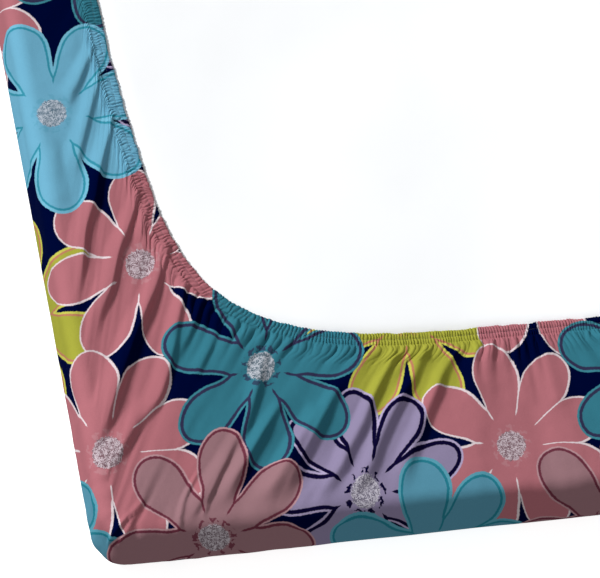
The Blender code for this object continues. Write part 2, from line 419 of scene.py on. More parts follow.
def crease_relief(points, crease):
    """Height of one crease: from the steep flank's path the cloth rises to a crest on the
    light's side and falls off gently, lower at the hem, nothing past the far end."""
    height = np.zeros(len(points))
    path, runs = (line[::PATH_STEPS] for line in smooth_line(crease.path))
    margin = crease.steep + CREASE_MARGIN * crease.easy
    near = np.all((points > path.min(0) - margin) & (points < path.max(0) + margin), axis=1)
    near = np.flatnonzero(near)
    if not len(near):
        return height
    start, step = path[:-1], np.diff(path, axis=0)
    length = np.linalg.norm(step, axis=1)
    way = step / length[:, None]
    offset = points[near][:, None] - start
    forward = (offset * way).sum(axis=-1)
    aside = offset[..., 0] * way[:, 1] - offset[..., 1] * way[:, 0]
    inside = np.clip(forward, 0, length)
    distance = np.hypot(forward - inside, aside)
    best = distance.argmin(axis=1)
    pick = np.arange(len(near)), best
    over = forward[pick] - inside[pick]
    at_end = ((over < 0) & (best == 0)) | ((over > 0) & (best == len(way) - 1))
    aside, distance = aside[pick], distance[pick]
    across = np.where(at_end, aside, np.sign(aside) * distance)
    share = (runs[best] + inside[pick]) / runs[-1]
    grow = 0.75 + 0.5 * share
    steep, easy = crease.steep * grow, crease.easy * grow
    rise = ease((across + steep / 2) / steep)
    fall = 1 - ease((across - steep / 2) / easy)
    swell = CREASE_START + (1 - CREASE_START) * ease(share / CREASE_SWOLLEN)
    fade = 1 - ease((share - CREASE_FADES) / (1 - CREASE_FADES))
    past = bell(np.where(at_end, over, 0.0), CREASE_END)
    height[near] = crease.height * rise * fall * swell * fade * past
    return height


def creases_at(plan):
    """The creases of all four quarters together, in plan. The other three quarters have the
    front left one's creases mirrored, moved a little and of other heights."""
    shape = plan.shape[:-1]
    points = plan.reshape(-1, 2)
    total = np.zeros(len(points))
    for number, sign in enumerate(QUARTERS):
        local = HALF - sign * points
        chance = np.random.default_rng(number + 3)
        for crease in CREASES:
            moved = crease
            if number:
                path = crease.path + chance.uniform(-CREASE_SHIFT, CREASE_SHIFT, 2)
                height = crease.height * chance.uniform(*CREASE_SCALES)
                moved = crease._replace(height=height, path=path)
            total += crease_relief(local, moved)
    return total.reshape(shape)


def pleat_relief(ring, across):
    """Height of the casing and its pleats at a distance from the lip: two channels with a
    stitched groove between them, which shows most along the ends. The pleats are rounded
    ridges between narrow grooves, bowed, slanted in the bend, wandering and uneven, and
    they run out past the seam, where every two merge into one."""
    level = ring.tangent[:, 0] ** 2
    width = ring.sizes.hem_width
    away = np.maximum(across - width, 0.0) * ring.lead
    place = across / width - 0.5
    inside = np.minimum(place, 0.5)
    bow = -1.5 * inside**2 * (1 - level) * (1 - ring.bend) + 1.2 * inside * ring.bend
    loose = 0.26 + 0.20 * (1 - level)
    wander = ring_noise(ring, across, 0.0075, 24) + ring_noise(ring, across, 0.015, 25)
    phase = ring.phase + bow + loose * wander
    lift = ridges(phase, 0.8) * (0.68 + 0.32 * ring_noise(ring, across, 0.008, 26))
    merged = ridges(phase / 2 + 0.4 * ring_noise(ring, across, 0.021, 27), 0.9)
    stitched = (0.20 + 0.35 * level) * bell(place, 0.07)
    sewn = 0.38 * level * bell(place - 0.5, 0.08)
    over = np.exp(-((away / (PLEAT_REACH - REACH_LOSS * level)) ** 1.7))
    height = ring.sizes.pleat_height * (1 - 0.1 * level)
    casing = over * (CASING_PUFF + height * lift) * (1 - stitched - sewn)
    strength = MERGED_HEIGHT * (0.15 + 0.85 * level + 0.5 * ring.bend)
    return casing + strength * hump(away, MERGED_CREST) * merged


def ridges(phase, power):
    """Ridges with narrow grooves at whole numbers: |sin(pi phase)| to a power."""
    return np.abs(np.sin(math.pi * phase)) ** power


def ring_noise(ring, across, cell, seed):
    """Noise over the run along the hem and a distance across it, the same after one round."""
    return noise(np.stack(np.broadcast_arrays(ring.run, across), axis=-1), cell, seed, RING_RUN)


def gather_relief(ring, away):
    """Height of the gathers outside the casing, at a distance along each column: broad,
    uneven and soon low, with a soft puff along the seam and long soft folds."""
    count = round(RING_RUN / MEDIUM_PITCH)
    phase = ring.run / RING_RUN * count + 1.1 * ring_noise(ring, 0.0, 0.060, 21)
    strength = 0.60 + 0.40 * ring_noise(ring, 0.0, 0.050, 22)
    level = ring.tangent[:, 0] ** 2
    side = 0.30 + 0.70 * level + 0.45 * ring.bend
    wide = ring.sizes.gather_height * side * ridges(phase, 0.9) * strength
    puff = SEAM_PUFF * level * hump(away * ring.lead, SEAM_PUFF_CREST)
    drawn_out = FOLD_STRETCH * away
    folds = sum(high * ring_noise(ring, drawn_out, cell, 33) for high, cell in LONG_FOLDS)
    folds = (folds + FOLD_LIFT) * ease(away / FOLD_START) * ring.lead
    pleats = pleat_relief(ring, ring.sizes.hem_width + away)
    return pleats + wide * hump(away, GATHER_CREST) + puff + folds


def band_relief(ring, plan, away):
    """All the relief on the tucked band and over the edge, at plan points that go on
    outwards past the edge: creases, gathers and small wrinkles."""
    calm = 1 - 0.6 * ease((plan[..., 0] - 0.05) / 0.15) * (plan[..., 1] < 0)
    creases = creases_at(plan) * ring.sizes.crease_share
    return creases + gather_relief(ring, away) + layers(plan, WRINKLES, 31) * calm


def wall_relief(ring, beyond):
    """Long level wrinkles on the walls: soft folds along them, and uneven smaller ones."""
    run = np.where(np.abs(ring.normal[:, :1]) > 0.5, ring.edge[:, 1:], ring.edge[:, :1])[:, 0]
    place = np.stack([run / 0.16 + 0 * beyond, beyond / 0.020], axis=-1)
    strength = 0.65 + 0.35 * noise(place / (1, 8), 1.0, 41)
    folds = sum(high * bell(beyond - below, half) for high, below, half in WALL_FOLDS)
    small = WALL_WRINKLE * noise(place, 1.0, 42)
    return ease(beyond / 0.020) * (folds * strength + small)


# Grids of the pieces


def curved_column(ring, away):
    """Plan points at a distance along columns that leave the seam square to it and turn
    into their own direction by GATHER_REACH: the shift along the seam grows with the
    distance and an eased share of it."""
    out, slant = ((ring.way * axis).sum(axis=1) for axis in (ring.outward, ring.tangent))
    shift = slant * away * ease(away / GATHER_REACH)
    return ring.seam + ring.outward * (out * away)[:, None] + ring.tangent * shift[:, None]


def round_angles(rows):
    """Angles of the rows of a quarter round, after its first."""
    return np.linspace(0, QUARTER_TURN, rows + 1)[1:]


def cloth_section(ring):
    """The big piece of cloth, from GATHER_REACH outside the casing over the edge and down
    to the floor: base points, directions of the relief, and relief. Each row has its plan,
    its height, the angle it faces and how far it lies beyond the brink."""
    rows = []
    for share in np.linspace(0, 1, BAND_ROWS + 1):
        away = GATHER_REACH + (ring.reach - GATHER_REACH) * share
        plan = ring.seam + ring.way * away[:, None]
        rows.append((plan, underside(plan), 0.0, 0.0))
    top = underside(ring.brink)
    for turn in round_angles(ROUND_ROWS):
        plan = ring.brink + ring.normal * (UPPER_ROUND * math.sin(turn))
        rows.append((plan, top - UPPER_ROUND * (1 - math.cos(turn)), turn, UPPER_ROUND * turn))
    straight = top - UPPER_ROUND - LOWER_ROUND
    bent = UPPER_ROUND * QUARTER_TURN
    for share in np.linspace(0, 1, WALL_ROWS + 1)[1:]:
        drop = straight * share
        rows.append((ring.edge, top - UPPER_ROUND - drop, QUARTER_TURN, bent + drop))
    for turn in round_angles(LOWER_ROWS):
        plan = ring.edge - ring.normal * (LOWER_ROUND * (1 - math.cos(turn)))
        beyond = bent + straight + LOWER_ROUND * turn
        rows.append((plan, LOWER_ROUND * (1 - math.sin(turn)), QUARTER_TURN + turn, beyond))

    plan, *others = zip(*rows)
    flat = np.array(plan)
    height, angle, beyond = (np.array([row + 0 * top for row in part]) for part in others)
    base = np.dstack([flat, height])
    flat[BAND_ROWS + 1 :] = ring.brink
    unrolled = flat + ring.normal * beyond[..., None]
    away = np.minimum(np.linalg.norm(unrolled - ring.seam, axis=-1), 1.0)
    relief = band_relief(ring, unrolled, away) * (1 - WALL_CALM * ease(beyond / CALM_REACH))
    relief = relief + wall_relief(ring, beyond)
    relief = relief * (1 - ease((beyond - FLAT_FROM) / FLAT_REACH))
    facing = np.dstack([ring.normal * np.sin(angle)[..., None], np.cos(angle)])
    return base, facing, relief


def hem_section(ring):
    """Rows of the gathered hem between its outer boundaries: inwards over the casing, round
    the lip and back underneath. The casing is two puffed channels crossed by pleats."""
    rows = []
    for away in GATHER_REACH * np.linspace(1, 0, 16)[1:-1] ** 1.3:
        plan = curved_column(ring, away)
        rows.append(raised(plan, band_relief(ring, plan, away)))
    width = ring.sizes.hem_width
    for across in np.linspace(width, LIP_RADIUS, 12):
        rows.append(casing_row(ring, across, 0.0))
    for angle in np.radians((40, 80, 120, 160)):
        rows.append(casing_row(ring, LIP_RADIUS, angle))
    for away in (-width * 0.6, 0.0, GATHER_REACH * 0.4):
        plan = curved_column(ring, away) if away > 0 else ring.seam + ring.outward * away
        relief = band_relief(ring, plan, max(away, 0.0))
        rows.append(raised(plan, 0.4 * relief - LOWER_LAYER))
    return rows


def casing_row(ring, across, angle):
    """One row of the casing at a distance from the lip, and past it the lip's round, which
    the pleats scallop."""
    plan = ring.lip + ring.outward * across
    crest = pleat_relief(ring, across)
    wave = creases_at(plan) * ring.sizes.crease_share
    wave = wave * (0.35 + 0.65 * across / ring.sizes.hem_width)
    if not angle:
        return raised(plan, wave + crest)
    half = (crest + LOWER_LAYER) / 2
    reach = 0.0010 + 0.50 * crest + 0.0012 * ring_noise(ring, 0.0, 0.013, 28)
    row = raised(plan, wave + crest - half + half * math.cos(angle))
    row[:, :2] -= ring.outward * (reach * math.sin(angle))[:, None]
    return row


# Meshes


def grid_faces(index, flipped=False):
    """Quads between the neighbouring rows and columns of a grid of vertex numbers."""
    quads = np.stack([index[:-1, :-1], index[1:, :-1], index[1:, 1:], index[:-1, 1:]], axis=-1)
    quads = quads.reshape(-1, 4)
    return quads[:, ::-1] if flipped else quads


def numbered(grid):
    """The numbers of a grid's points."""
    return np.arange(grid.shape[0] * grid.shape[1]).reshape(grid.shape[:2])


def closed(index):
    """The grid with its first column again after the last."""
    return np.hstack([index, index[:, :1]])


def new_piece(name, points, faces, material, uv=None, rim=()):
    """An object from arrays of faces, each with one number of corners, smooth but for the
    edges between two vertices of the rim. The print coordinates are per corner."""
    mesh = bpy.data.meshes.new(name)
    mesh.from_pydata(points.tolist(), [], [f for group in faces for f in group.tolist()])
    mesh.shade_smooth()
    if len(rim):
        on_rim = np.zeros(len(points), bool)
        on_rim[rim] = True
        ends = np.empty(2 * len(mesh.edges), np.int32)
        mesh.edges.foreach_get("vertices", ends)
        sharp = on_rim[ends.reshape(-1, 2)].all(axis=1)
        layer = mesh.attributes.new("sharp_edge", "BOOLEAN", "EDGE")
        layer.data.foreach_set("value", sharp)
    if uv is not None:
        mesh.uv_layers.new(name="print").data.foreach_set("uv", uv.astype(np.float32).ravel())
    mesh.validate()
    piece = bpy.data.objects.new(name, mesh)
    bpy.context.scene.collection.objects.link(piece)
    mesh.materials.append(material)
    return piece


def cloth_mesh(sizes):
    """Points, faces, print coordinates and rim of the big piece of cloth: an outer layer,
    an inner one with every second row and column, and the rim that joins them."""
    ring = ring_at(sizes, np.concatenate(ring_steps()))
    base, facing, relief = cloth_section(ring)
    outer = base + facing * relief[..., None]
    depth = sizes.cloth + 0.4 * np.clip(relief, 0, None)
    depth[0] = sizes.cloth
    inner = (base + facing * (relief - depth)[..., None])[::2, ::2]
    over = numbered(outer)
    under = over.size + numbered(inner)
    first, second = closed(over)[0], closed(under)[0]
    join = np.stack([first[:-2:2], first[1:-1:2], first[2::2], second[1:], second[:-1]], axis=1)
    groups = [
        grid_faces(closed(over)),
        grid_faces(closed(under), flipped=True),
        join,
        over[-1:, ::-1],
        under[-1:],
    ]
    points = np.vstack([outer.reshape(-1, 3), inner.reshape(-1, 3)])

    side, end = (both_layers(wall_print(ring, base, axis)) for axis in (0, 1))
    on_end = np.abs(ring.normal[:, 1]) > np.abs(ring.normal[:, 0])
    on_end = both_layers(np.broadcast_to(on_end, over.shape))
    uv = []
    for group in groups[:3]:
        corners = on_end[group]
        chosen = corners[:, :1] if group is join else corners.sum(1)[:, None] >= 3
        uv.append(np.where(chosen[..., None], end[group], side[group]).reshape(-1, 2))
    for group in groups[3:]:
        plan = points[group[0], :2] * (1, -1) - (0, 2 * HALF[1] + HEIGHT)
        uv.append(plan @ PRINT_AXES.T)
    return points, groups, np.vstack(uv), np.concatenate([over[0], under[0]])


def both_layers(grid):
    """A grid's values for the outer layer, and then for the inner one."""
    return np.concatenate([part.reshape(-1, *grid.shape[2:]) for part in (grid, grid[::2, ::2])])


def wall_print(ring, base, axis):
    """Print coordinates of the band in plan, moving on over the edge with the descent, as
    far as the fall of the walls that face along one axis says."""
    side = np.sign(ring.edge[:, axis, None])
    near = (side < 0) * (1 - ease((ring.edge[:, 1 - axis, None] - FALL_FROM) / FALL_REACH))
    plain = PLAIN_FALL * side * np.eye(2)[axis]
    fall = plain + (CORNER_FALL[axis] - plain) * near
    plan = base[..., :2].copy()
    plan[-LOWER_ROWS:] = ring.edge
    descent = np.maximum(underside(ring.brink) - base[..., 2], 0.0)
    descent[: BAND_ROWS + 1] = 0.0
    return (plan + fall * descent[..., None]) @ PRINT_AXES.T


def hem_mesh(sizes, steps, divide):
    """Points, faces, print coordinates and rim of a length of gathered hem: a closed tube,
    whose outer boundary lies on the straight edges of the big piece of cloth."""
    number = np.arange((len(steps) - 1) * divide + 1) / divide
    fine = np.interp(number, np.arange(len(steps)), steps)
    above, below = (
        np.stack([np.interp(fine, steps, values) for values in row.T], axis=1)
        for row in hem_boundary(ring_at(sizes, steps))
    )
    section = np.array([above, *hem_section(ring_at(sizes, fine)), below])
    index = numbered(section)
    loop = np.vstack([index, index[:1]])
    groups = [grid_faces(loop, flipped=True), index[:, 0][None], index[::-1, -1][None]]
    points = section.reshape(-1, 3)
    uv = points[:, :2] @ PRINT_AXES.T
    uv = np.vstack([uv[group].reshape(-1, 2) for group in groups])
    return points, groups, uv, np.concatenate([index[0], index[-1]])


def hem_boundary(ring):
    """The first row of the big piece of cloth, above and below."""
    plan = ring.seam + ring.way * GATHER_REACH
    relief = band_relief(ring, plan, GATHER_REACH)
    return raised(plan, relief), raised(plan, relief - ring.sizes.cloth)


def stitches_mesh(sizes):
    """Points and faces of the stitches along the middle of the casing: short pointed
    threads, each with two rings of six points and one point at either end."""
    ring = ring_at(sizes, np.arange(0, 4, STITCH_SPACING / QUARTER_RUN))
    centre = casing_row(ring, sizes.hem_width / 2, 0.0)
    centre[:, 2] += STITCH_LIFT
    axes = np.zeros((len(centre), 3, 3))
    axes[:, 0, :2], axes[:, 1, :2], axes[:, 2, 2] = ring.tangent, ring.outward, 1.0
    body = np.array([(0.0, math.cos(t), math.sin(t)) for t in np.radians(range(0, 360, 60))])
    shape = [(-1.0, 0, 0), *(body - (0.45, 0, 0)), *(body + (0.45, 0, 0)), (1.0, 0, 0)]
    shape = np.array(shape) * (sizes.stitch_length / 2, STITCH_THICK, STITCH_THICK)
    points = centre[:, None] + shape @ axes
    around = np.arange(6)
    after = (around + 1) % 6
    first = np.column_stack([0 * around, 1 + after, 1 + around])
    last = np.column_stack([13 + 0 * around, 7 + around, 7 + after])
    middle = np.column_stack([1 + around, 1 + after, 7 + after, 7 + around])
    start = (np.arange(len(centre)) * len(shape))[:, None, None]
    groups = [(start + part).reshape(-1, part.shape[1]) for part in (first, last, middle)]
    return points.reshape(-1, 3), groups


def cover_mesh(sizes):
    """Points and faces of the mattress: rings from the middle of the upturned underside to
    the hem, where the foam swells between the elastic's pull, under the cloth, over the
    edge and down. It is a little uneven and rises only inside the hem."""
    ring = ring_at(sizes, np.concatenate([part[::2] for part in ring_steps()]))
    edge = ring.edge - ring.normal * COVER_GAP
    brink = edge - ring.normal * UPPER_ROUND
    first = ring.lip - ring.outward * COVER_FIRST
    rows = [first * share for share in np.linspace(0.02, 1, COVER_RINGS)]
    rows += [ring.lip - ring.outward * inside for inside in COVER_INSIDE]
    rows += [ring.seam + (brink - ring.seam) * share for share in np.linspace(0, 1, 5)]
    plan = np.array(rows)
    inner = COVER_RINGS + COVER_INSIDE.index(0.0)
    inside = np.linalg.norm(plan[:inner] - ring.lip, axis=-1)
    sunk = np.ones(plan.shape[:2])
    sunk[:inner] = np.exp(-((inside / COVER_REACH) ** 1.5))
    height = underside(plan) + COVER_SWELL - (COVER_SWELL + COVER_SINK) * sunk
    height += layers(plan, COVER_UNEVEN, 51) * (1 - sunk)
    rows = list(np.dstack([plan, height]))
    top = rows[-1][:, 2]
    for turn in round_angles(3):
        plan = brink + ring.normal * UPPER_ROUND * math.sin(turn)
        rows.append(np.column_stack([plan, top - UPPER_ROUND * (1 - math.cos(turn))]))
    for turn in (0.0, *round_angles(3)):
        plan = edge - ring.normal * LOWER_ROUND * (1 - math.cos(turn))
        lift = COVER_FLOOR + LOWER_ROUND * (1 - math.sin(turn))
        rows.append(np.column_stack([plan, np.full(len(plan), lift)]))
    grid = np.array(rows)
    index = numbered(grid)
    groups = [grid_faces(closed(index)), index[:1], index[-1:, ::-1]]
    return grid.reshape(-1, 3), groups


# Materials


class Value:
    """A socket of a shader. Python's operators on it add Math nodes."""

    def __init__(self, shader, socket):
        self.shader = shader
        self.socket = socket

    def math(self, operation, *others):
        return self.shader.math(operation, self, *others)

    def __add__(self, other):
        return self.math("ADD", other)

    __radd__ = __add__

    def __mul__(self, other):
        return self.math("MULTIPLY", other)

    __rmul__ = __mul__

    def __sub__(self, other):
        return self.math("SUBTRACT", other)

    def __rsub__(self, other):
        return self.shader.math("SUBTRACT", other, self)

    def __truediv__(self, other):
        return self.math("DIVIDE", other)

    def __pow__(self, other):
        return self.math("POWER", other)


class Shader:
    """The nodes of one material."""

    def __init__(self, name, roughness, **constants):
        self.material = bpy.data.materials.new(name)
        self.material.use_nodes = True
        self.nodes = self.material.node_tree.nodes
        self.links = self.material.node_tree.links
        self.surface = self.nodes["Principled BSDF"]
        self.surface.inputs["Roughness"].default_value = roughness
        for socket, value in constants.items():
            self.surface.inputs[socket.replace("_", " ")].default_value = value

    def node(self, kind, settings=None, inputs=None, output=0):
        """Adds a node: its settings first, then values or links of its sockets, which are
        named or numbered. Gives one of its outputs."""
        node = self.nodes.new("ShaderNode" + kind)
        for setting, value in (settings or {}).items():
            setattr(node, setting, value)
        for socket, value in (inputs or {}).items():
            self.feed(node.inputs[socket], value)
        return Value(self, node.outputs[output])

    def feed(self, socket, value):
        """Links a socket to a value, or sets it."""
        if isinstance(value, Value):
            self.links.new(value.socket, socket)
        else:
            socket.default_value = value

    def math(self, operation, *values):
        return self.node("Math", {"operation": operation}, dict(enumerate(values)))

    def vector(self, operation, *values):
        return self.node("VectorMath", {"operation": operation}, dict(enumerate(values)))

    def split(self, vector):
        """The three coordinates of a vector."""
        node = self.nodes.new("ShaderNodeSeparateXYZ")
        self.feed(node.inputs[0], vector)
        return [Value(self, socket) for socket in node.outputs]

    def woven(self, pitch, slant):
        """The place in the object, and from -1 to 1 how high the crossing threads lie."""
        where = self.node("TexCoord", output=3)
        x, y, z = self.split(where)
        turn = 2 * math.pi / pitch
        warp, weft = (self.math("SINE", (axis + z * slant) * turn) for axis in (x, y))
        return where, warp * weft

    def mix(self, share, first, second):
        """A colour between two."""
        settings = {"data_type": "RGBA"}
        return self.node("Mix", settings, {0: share, 6: first, 7: second}, output=2)

    def step(self, value, low, high):
        """0 at low and 1 at high, eased between them."""
        settings = {"interpolation_type": "SMOOTHSTEP"}
        return self.node("MapRange", settings, {0: value, 1: low, 2: high})

    def noise(self, place, scale, detail=2.0, output=0):
        """Noise with so many features in a metre."""
        values = {"Vector": place, "Scale": scale, "Detail": detail}
        return self.node("TexNoise", {"normalize": True}, values, output)

    def finish(self, color, height=None, strength=1.0):
        """Feeds the surface: its colour and its bump in metres."""
        self.feed(self.surface.inputs["Base Color"], color)
        if height is not None:
            values = {"Strength": strength, "Distance": 1.0, "Height": height}
            self.feed(self.surface.inputs["Normal"], self.node("Bump", None, values))
        return self.material


def rgba(red, green, blue):
    """A colour from the screen's values from 0 to 255, made linear."""
    share = np.array([red, green, blue]) / 255
    linear = np.where(share <= 0.04045, share / 12.92, ((share + 0.055) / 1.055) ** 2.4)
    return (*linear.tolist(), 1.0)


# Flowers of the print, from the lowest layer up: the middle in the print's coordinates, one
# petal's angle in degrees, the number of petals, after how many repeats upwards the flower
# comes again, its radius, a petal's half width and inner length as shares of that, where
# the lines between petals end, how unevenly the petals are spaced and the angle where they
# are closest, the colours, with the rim's and the line's widths, and how strong the dashes
# round the heart are
Flower = namedtuple(
    "Flower",
    "x y angle petals rows reach half taper cut wave at fill rim line inset width dashes",
)
WHITE_RIM = (206, 192, 196)
FLOWERS = (
    Flower(
        -0.042, -0.620, -65.8, 7, 1, 0.156, 0.248, 0.47, 0.30, 0.0, 0.0,
        "lime", (180, 180, 78), (170, 114, 86), 0.0035, 0.0033, 0.4,
    ),
    Flower(
        -0.444, -0.536, 98.0, 7, 1, 0.150, 0.250, 0.48, 0.32, 0.08, 180.0,
        "pink", WHITE_RIM, WHITE_RIM, 0.0021, 0.0, 0.10,
    ),
    Flower(
        -0.483, -0.809, 103.0, 8, 1, 0.153, 0.238, 0.48, 0.32, 0.16, 15.0,
        "pink", WHITE_RIM, WHITE_RIM, 0.0021, 0.0, 0.10,
    ),
    Flower(
        -0.109, -0.872, 97.0, 8, 1, 0.153, 0.220, 0.48, 0.30, 0.22, 78.0,
        "lilac", (162, 150, 182), (10, 6, 40), 0.0032, 0.0062, 1.0,
    ),
    Flower(
        -0.261, -0.688, 10.0, 7, 1, 0.155, 0.250, 0.47, 0.27, 0.10, -10.0,
        "teal", (56, 122, 136), (46, 46, 74), 0.0032, 0.0048, 0.8,
    ),
    Flower(
        -0.583, -0.308, 117.0, 7, 2, 0.158, 0.262, 0.49, 0.33, 0.08, 0.0,
        "sky", (106, 168, 192), (48, 130, 150), 0.0044, 0.0035, 0.2,
    ),
    Flower(
        -0.008, -0.974, 98.0, 6, 1, 0.157, 0.262, 0.48, 0.28, 0.42, 30.0,
        "cyan", (82, 146, 164), (36, 114, 130), 0.0042, 0.0038, 0.5,
    ),
    Flower(
        -0.328, -0.930, 84.0, 7, 2, 0.154, 0.240, 0.47, 0.28, 0.12, 20.0,
        "dusty", (170, 132, 138), (98, 46, 60), 0.0024, 0.0038, 0.9,
    ),
)

# The heart's two greys, where a petal is widest and how its inner half narrows, where, over
# which reach and how far notches close, the softness, wobble and roughness of the print's
# outlines, and the dashes' ring, their reach from it and the heart's ragged edge
SPECK = (202, 199, 206)
GREY = (80, 78, 86)
PETAL_MIDDLE = 0.68
PETAL_POWER = 1.35
CLOSE_START = 0.50
CLOSE_REACH = 0.20
CLOSE_DEPTH = 0.012
PRINT_EDGE = 0.0007
PRINT_WOBBLE = 0.012
PRINT_ROUGH = 0.0022
DASH_RING = 0.0268
DASH_REACH = 0.0045, 0.0030
HEART_EDGE = 0.0225, 0.0205
BLACK = (0.0, 0.0, 0.0, 1.0)


def flower_layers(shader, colors, place, rough, number, below):
    """Paints one flower over what is below. Its petals are egg shaped, half an ellipse
    outwards and a slimmer half towards the middle, where the notches between them close,
    and spaced unevenly because the angle is bent by a wave. A band along their common
    outline is the rim, wider on the right, and another, further in, the line."""
    flower = FLOWERS[number]
    fill = getattr(colors, flower.fill)
    x, y, _ = shader.split(place)
    x, y = x - flower.x, y - flower.y
    up = shader.math("ROUND", y / (flower.rows * REPEAT_UP))
    y = y - up * (flower.rows * REPEAT_UP)
    x = x - up * (flower.rows * REPEAT_SHIFT)
    x = x - shader.math("ROUND", x / REPEAT_ACROSS) * REPEAT_ACROSS
    radius = shader.math("SQRT", x * x + y * y)
    sector = 2 * math.pi / flower.petals
    first = math.radians(flower.angle)
    seen = shader.math("ARCTAN2", y, x)
    closest = math.radians(flower.at)
    bent = seen + shader.math("SINE", seen - closest) * flower.wave
    angle = bent - (first + flower.wave * math.sin(first - closest))
    petal = shader.math("ROUND", angle / sector)
    key = shader.math("FLOORED_MODULO", petal, float(flower.petals)) + 11.3 * number
    chance = shader.node("TexWhiteNoise", {"noise_dimensions": "1D"}, {"W": key})
    offset = angle - petal * sector
    even = 1 + flower.wave * shader.math("COSINE", seen - closest)
    turned = offset / even
    scale = flower.reach * (0.97 + chance * 0.05)
    aside = radius * shader.math("SINE", turned) / scale
    ahead = radius * shader.math("COSINE", turned) / scale - PETAL_MIDDLE
    outer = shader.math("MAXIMUM", ahead, 0.0) / (1 - PETAL_MIDDLE)
    inner = shader.math("MAXIMUM", 0.0 - ahead, 0.0) / flower.taper
    slim = inner**PETAL_POWER
    level = shader.math("SQRT", aside * aside / flower.half**2 + outer * outer + slim)
    across = aside / flower.half**2
    gain = inner ** (PETAL_POWER - 1) * (PETAL_POWER / 2 / flower.taper)
    along_it = outer / (1 - PETAL_MIDDLE) + gain
    slope = shader.math("SQRT", across * across + along_it * along_it)
    edge = (level - 1) * level / shader.math("MAXIMUM", slope, 0.001)
    near = shader.math("MAXIMUM", CLOSE_START - radius / flower.reach, 0.0) / CLOSE_REACH
    edge = edge * flower.reach - near * near * CLOSE_DEPTH
    between = (sector / 2 - shader.math("ABSOLUTE", offset)) / even * radius
    short = shader.math("MAXIMUM", flower.cut * flower.reach - radius, 0.0)
    parting = 0.0 - (between * 1.5 + short * 0.5)
    middle = flower.inset + 0.4 * flower.width if flower.width else 0.5 * flower.inset
    edge = shader.math("MAXIMUM", edge, parting - middle) + rough
    right = x - PETAL_MIDDLE * flower.reach * shader.math("COSINE", seen - turned)
    widen = 1 + (0.0 if flower.width else 0.6) * shader.step(right, -0.03, 0.03)

    def inside(depth):
        return shader.step(edge, PRINT_EDGE - depth, 0.0 - PRINT_EDGE - depth)

    inset = flower.inset * widen
    color = shader.mix(inside(0.0), below, rgba(*flower.rim))
    if flower.width:
        color = shader.mix(inside(inset), color, rgba(*flower.line))
    color = shader.mix(inside(inset + flower.width), color, fill)
    return flower_heart(shader, place, rough, flower, fill, radius, seen, color)


def flower_heart(shader, place, rough, flower, fill, radius, angle, color):
    """The ragged speckled disc in a flower's middle, with a ring of short dashes."""
    spoke = shader.math("SINE", angle * 9.0 + shader.noise(place, 110.0) * 12.0)
    ring = shader.math("ABSOLUTE", radius + rough * 3.0 - DASH_RING)
    dashes = shader.step(ring, *DASH_REACH) * shader.step(spoke, 0.20, 0.50) * flower.dashes
    color = shader.mix(dashes, color, rgba(*flower.line))
    speck = shader.noise(place, 620.0) * 0.6 + shader.noise(place, 190.0) * 0.4
    speckled = shader.mix(shader.step(speck, 0.43, 0.57), rgba(*GREY), rgba(*SPECK))
    speckled = shader.mix(0.30, speckled, fill)
    return shader.mix(shader.step(radius + rough * 4.0, *HEART_EDGE), color, speckled)


def printed_cloth(colors):
    """Woven cloth with the flower print. Its weave, fine wrinkles and faint sheen are the
    same all over; the print follows the piece's own coordinates in metres."""
    material = bpy.data.materials.get("flower_cloth")
    if material:
        return material
    shader = Shader("flower_cloth", 0.82, Specular_IOR_Level=0.04, IOR=1.05)
    place = shader.node("UVMap", {"uv_map": "print"})
    wobble = shader.vector("SUBTRACT", shader.noise(place, 9.0, output=1), (0.5, 0.5, 0.5))
    wobble = shader.vector("MULTIPLY", wobble, (PRINT_WOBBLE, PRINT_WOBBLE, 0.0))
    bent = shader.vector("ADD", place, wobble)
    rough = (shader.noise(place, 300.0) - 0.5) * PRINT_ROUGH
    color = colors.ground
    for number in range(len(FLOWERS)):
        color = flower_layers(shader, colors, bent, rough, number, color)
    return cloth_finish(shader, color)


def cloth_finish(shader, color):
    """Adds the weave to a cloth: crossing threads, uneven yarn and fine soft wrinkles."""
    where, threads = shader.woven(0.0007, 0.5)
    yarn = shader.noise(where, 900.0)
    crumple = shader.noise(where, 45.0, 3.0)
    height = threads * 0.00004 + yarn * 0.00012 + crumple * 0.0014
    tint = shader.mix(shader.step(yarn, 0.2, 0.8) * 0.10, color, BLACK)
    worn = 0.78 + shader.noise(where, 30.0) * 0.10
    shader.feed(shader.surface.inputs["Roughness"], worn)
    return shader.finish(tint, height, strength=0.6)


def mattress_cover(colors):
    """Plain white woven cover: fine threads and a slightly uneven tone."""
    shader = Shader("mattress_cover", 0.9, Sheen_Weight=0.15)
    where, threads = shader.woven(0.0011, 1.0)
    height = threads * 0.00005 + shader.noise(where, 700.0) * 0.00008
    shade = shader.step(shader.noise(where, 2.6, 1.0), 0.7, 0.3) * 0.08
    return shader.finish(shader.mix(shade, colors.cover, BLACK), height, strength=0.6)


def hem_thread_with_groove_shade(colors):
    """Spun sewing thread with a slight twist. Its soft grey mauve is darkened: partly the thread's
    own colour, partly painted shade for the shade line along the stitched groove.
    """
    shader = Shader("hem_thread_with_groove_shade", 0.6, Sheen_Weight=0.2)
    where = shader.node("TexCoord", output=3)
    x, y, _ = shader.split(where)
    ply = shader.math("SINE", (x + y) * (2 * math.pi / 0.0005))
    # The thread colour is partly painted shade: it is darkened to stand for the shade line in the
    # stitched groove.
    color = shader.mix(shader.noise(where, 40.0) * 0.5, colors.thread, BLACK)
    return shader.finish(color, ply * 0.00005, strength=0.5)


def pale_floor():
    """Plain pale studio floor."""
    shader = Shader("pale_floor", 0.9, Emission_Color=(1, 1, 1, 1), Emission_Strength=0.84)
    where = shader.node("TexCoord", output=3)
    tone = shader.noise(where, 1.5)
    return shader.finish(shader.mix(tone, rgba(200, 200, 200), rgba(206, 206, 206)))


# Operators


def length(name, description, default):
    """A length that a user can change."""
    return bpy.props.FloatProperty(
        name=name, description=description, default=default, min=0.0, precision=4, unit="LENGTH"
    )


